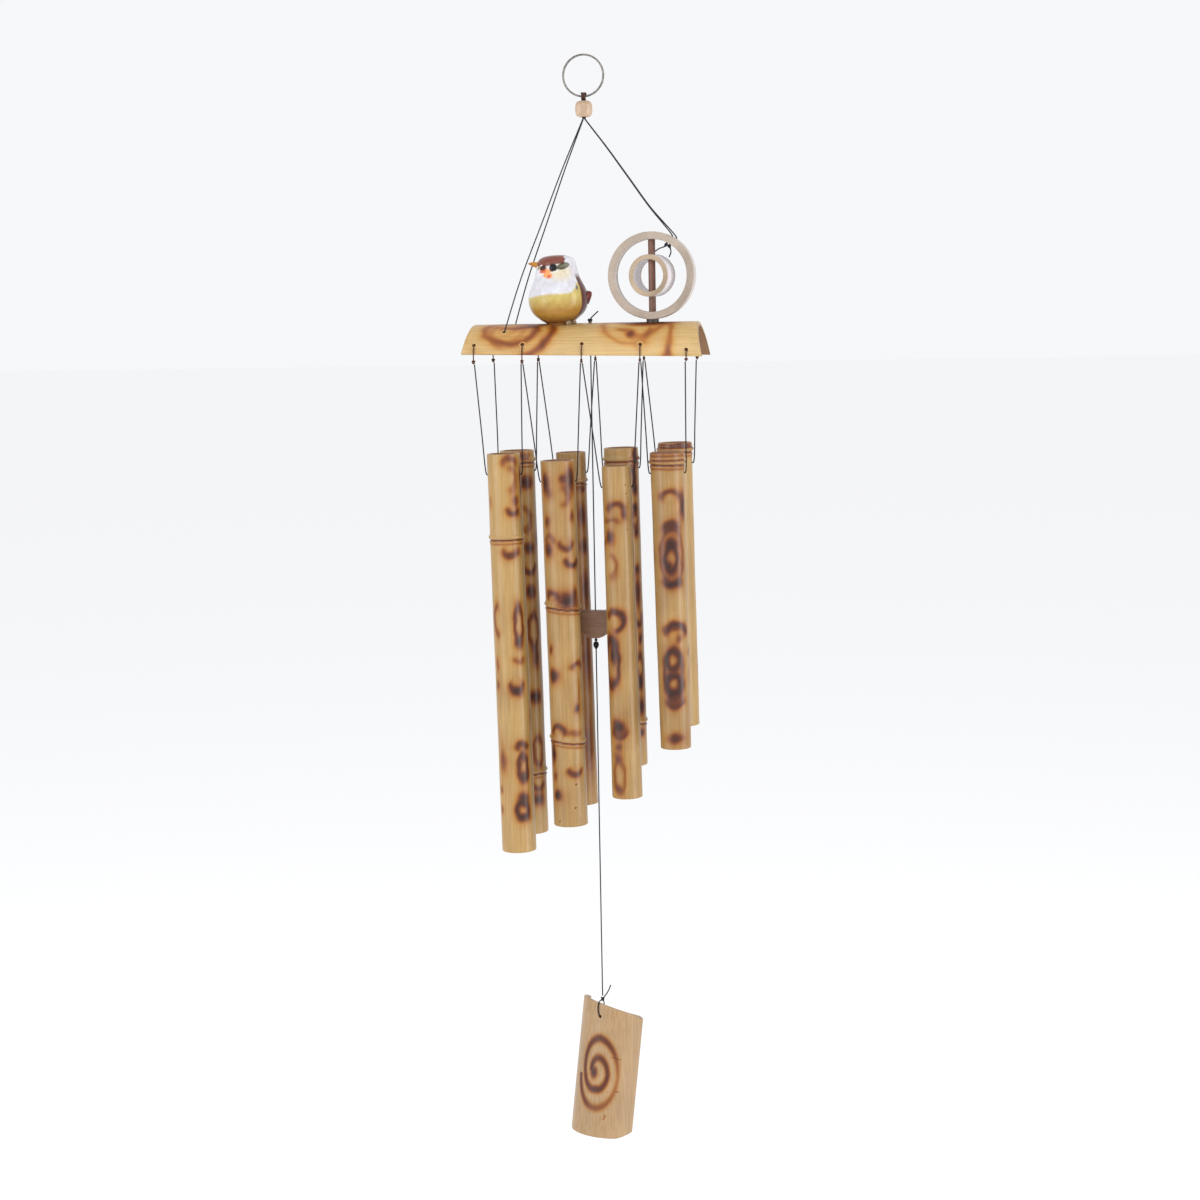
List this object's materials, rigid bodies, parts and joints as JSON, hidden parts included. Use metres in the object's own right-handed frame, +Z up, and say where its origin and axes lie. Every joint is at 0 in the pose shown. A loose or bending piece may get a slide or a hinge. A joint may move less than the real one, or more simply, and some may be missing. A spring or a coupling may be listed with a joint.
{
  "type": "wind chime",
  "caption": "Hanging wind chime: scorched bamboo tubes in two rows below a half-round bamboo bar that carries a painted bird and nested rings, with a striker and a wind catcher.",
  "frame": {"origin": "inside top of the steel hanging ring, the point where a hook bears", "axes": "X runs along the bar towards the rings, Y from front to back, Z up"},
  "size_m": [0.1716, 0.075, 0.7859],
  "materials": {
    "steel": "dull split-ring wire",
    "brown_cord": "dark brown waxed cord",
    "cord": "charcoal waxed cord",
    "bead_wood": "pale turned wood",
    "bamboo": "scorched and lacquered bamboo",
    "grey_bamboo": "dull grey-tan bamboo slice",
    "red_wood": "red-brown stained rod",
    "striker_wood": "brown stained wood",
    "bird_glaze": "glossy hand-painted",
    "glue": "dark dried glue"
  },
  "bodies": {
    "ring": {"hanging_ring": "steel"},
    "frame": {"ring_lashing": "brown_cord", "top_bead": "bead_wood", "hanger_cord_left_front": "cord", "hanger_cord_left_back": "cord", "hanger_cord_right_front": "cord", "hanger_cord_right_back": "cord", "bar": "bamboo", "bird": "bird_glaze", "big_ring": "grey_bamboo", "ring_post": "red_wood", "ring_glue": "glue", "front_ties": "cord", "back_ties": "cord"},
    "small_ring": {"small_ring": "bamboo"},
    "ridge_knot": {"ridge_knot": "cord"},
    "striker": {"striker_cord": "cord", "striker": "striker_wood"},
    "striker_link": {"striker_link": "cord"},
    "catcher_cord": {"catcher_cord": "cord"},
    "wind_catcher": {"catcher_tie": "cord", "wind_catcher": "bamboo"},
    "front_tube_1": {"tube_front_1": "bamboo", "cord_front_1_left": "cord", "cord_front_1_right": "cord"},
    "front_tube_2": {"tube_front_2": "bamboo", "cord_front_2_left": "cord", "cord_front_2_right": "cord"},
    "front_tube_3": {"tube_front_3": "bamboo", "cord_front_3_left": "cord", "cord_front_3_right": "cord"},
    "front_tube_4": {"tube_front_4": "bamboo", "cord_front_4_left": "cord", "cord_front_4_right": "cord"},
    "back_tube_1": {"tube_back_1": "bamboo", "cord_back_1_left": "cord", "cord_back_1_right": "cord"},
    "back_tube_2": {"tube_back_2": "bamboo", "cord_back_2_left": "cord", "cord_back_2_right": "cord"},
    "back_tube_3": {"tube_back_3": "bamboo", "cord_back_3_left": "cord", "cord_back_3_right": "cord"},
    "back_tube_4": {"tube_back_4": "bamboo", "cord_back_4_left": "cord", "cord_back_4_right": "cord"}
  },
  "joints": [
    {"name": "ring_swing", "type": "hinge", "parent": "ring", "child": "frame", "pos_m": [0, 0, -0.02785], "axis": [1, 0, 0], "range_deg": [-25, 25]},
    {"name": "small_ring_turn", "type": "hinge", "parent": "frame", "child": "small_ring", "pos_m": [0.0466, 0, -0.1527], "axis": [0, 0, 1], "continuous": true},
    {"name": "front_tube_1_swing", "type": "hinge", "parent": "frame", "child": "front_tube_1", "pos_m": [0, -0.0243, -0.211], "axis": [1, 0, 0], "range_deg": [-20, 1.9]},
    {"name": "front_tube_2_swing", "type": "hinge", "parent": "frame", "child": "front_tube_2", "pos_m": [0, -0.0243, -0.211], "axis": [1, 0, 0], "range_deg": [-20, 1.9]},
    {"name": "front_tube_3_swing", "type": "hinge", "parent": "frame", "child": "front_tube_3", "pos_m": [0, -0.0243, -0.211], "axis": [1, 0, 0], "range_deg": [-20, 1.9]},
    {"name": "front_tube_4_swing", "type": "hinge", "parent": "frame", "child": "front_tube_4", "pos_m": [0, -0.0243, -0.211], "axis": [1, 0, 0], "range_deg": [-20, 1.9]},
    {"name": "back_tube_1_swing", "type": "hinge", "parent": "frame", "child": "back_tube_1", "pos_m": [0, 0.0243, -0.211], "axis": [1, 0, 0], "range_deg": [-1.9, 20]},
    {"name": "back_tube_2_swing", "type": "hinge", "parent": "frame", "child": "back_tube_2", "pos_m": [0, 0.0243, -0.211], "axis": [1, 0, 0], "range_deg": [-1.9, 20]},
    {"name": "back_tube_3_swing", "type": "hinge", "parent": "frame", "child": "back_tube_3", "pos_m": [0, 0.0243, -0.211], "axis": [1, 0, 0], "range_deg": [-1.9, 20]},
    {"name": "back_tube_4_swing", "type": "hinge", "parent": "frame", "child": "back_tube_4", "pos_m": [0, 0.0243, -0.211], "axis": [1, 0, 0], "range_deg": [-1.9, 20]},
    {"name": "striker_side", "type": "hinge", "parent": "frame", "child": "ridge_knot", "pos_m": [0.0017, 0, -0.1842], "axis": [0, 1, 0], "range_deg": [-6, 6]},
    {"name": "striker_swing", "type": "hinge", "parent": "ridge_knot", "child": "striker", "pos_m": [0.0017, 0, -0.1842], "axis": [1, 0, 0], "range_deg": [-1.9, 1.9]},
    {"name": "catcher_swing", "type": "hinge", "parent": "striker", "child": "striker_link", "pos_m": [0.0017, 0, -0.4139], "axis": [1, 0, 0], "range_deg": [-3.5, 3.5]},
    {"name": "catcher_side", "type": "hinge", "parent": "striker_link", "child": "catcher_cord", "pos_m": [0.0017, 0, -0.4177], "axis": [0, 1, 0], "range_deg": [-20, 20]},
    {"name": "catcher_turn", "type": "hinge", "parent": "catcher_cord", "child": "wind_catcher", "pos_m": [0.0017, 0, -0.678], "axis": [0, 0, 1], "continuous": true}
  ]
}
